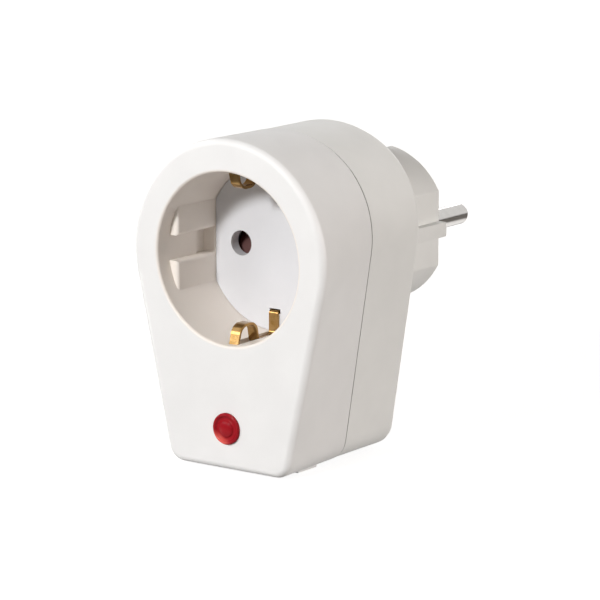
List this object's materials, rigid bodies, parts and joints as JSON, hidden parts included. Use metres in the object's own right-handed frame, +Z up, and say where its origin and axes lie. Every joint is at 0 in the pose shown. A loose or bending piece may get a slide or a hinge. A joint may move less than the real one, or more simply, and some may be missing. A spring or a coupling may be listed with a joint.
{
  "type": "surge protector adapter",
  "caption": "Plug-in surge protector adapter: earthed round socket and red lamp in front, two-pin earthed plug behind, in a two-shell housing with a round crown and flat foot.",
  "frame": {"origin": "middle of the plug's pin face, on the line through both centres", "axes": "+Y out along the plug pins, so the socket faces -Y; +Z up towards the round crown; +X to the right seen from the socket side"},
  "size_m": [0.0528, 0.0806, 0.0755],
  "materials": {
    "housing": "satin moulded thermoplastic, warm white",
    "insert": "satin moulded thermoplastic, cool white",
    "carrier": "moulded thermoset",
    "shutter": "dark red-brown moulded plastic",
    "spring_steel": "drawn spring wire",
    "brass": "bright stamped sheet",
    "nickel": "nickel plated",
    "rivet_steel": "tinned",
    "board": "bonded paper laminate",
    "varistor_coat": "epoxy dip",
    "fuse_body": "ceramic-like body",
    "resistor_body": "lacquered",
    "lamp_glass": "clear glass bulb",
    "lens_red": "translucent red",
    "wire_brown": "soft insulation",
    "wire_blue": "soft insulation",
    "wire_green": "soft insulation, green and yellow",
    "screw_steel": "zinc plated"
  },
  "bodies": {
    "adapter": {"front_shell": "housing", "rear_shell": "housing", "socket_insert": "insert", "contact_carrier": "carrier", "shutter_spring": "spring_steel", "socket_contact_left": "brass", "socket_contact_right": "brass", "busbar_left": "brass", "busbar_right": "brass", "contact_rivets": "rivet_steel", "plug_pin_left": "nickel", "plug_pin_right": "nickel", "socket_earth_clip_top": "brass", "socket_earth_clip_bottom": "brass", "earth_bridge": "brass", "earth_rivets": "rivet_steel", "plug_earth_strip_top": "nickel", "plug_earth_strip_bottom": "nickel", "circuit_board": "board", "varistor_line_neutral": "varistor_coat", "varistor_line_earth": "varistor_coat", "varistor_neutral_earth": "varistor_coat", "thermal_fuse": "fuse_body", "lamp_resistor": "resistor_body", "indicator_lamp": "lamp_glass", "indicator_lens": "lens_red", "line_wire": "wire_brown", "neutral_wire": "wire_blue", "earth_wire": "wire_green", "housing_screws": "screw_steel"},
    "shutter": {"shutter": "shutter"}
  },
  "joints": [
    {"name": "shutter_turn", "type": "hinge", "parent": "adapter", "child": "shutter", "pos_m": [0, -0.03785, 0], "axis": [0, -1, 0], "range_deg": [0, 38], "stiffness_Nm_per_rad": 0.002, "springref_deg": -20.05, "deforming": ["shutter_spring"]}
  ]
}
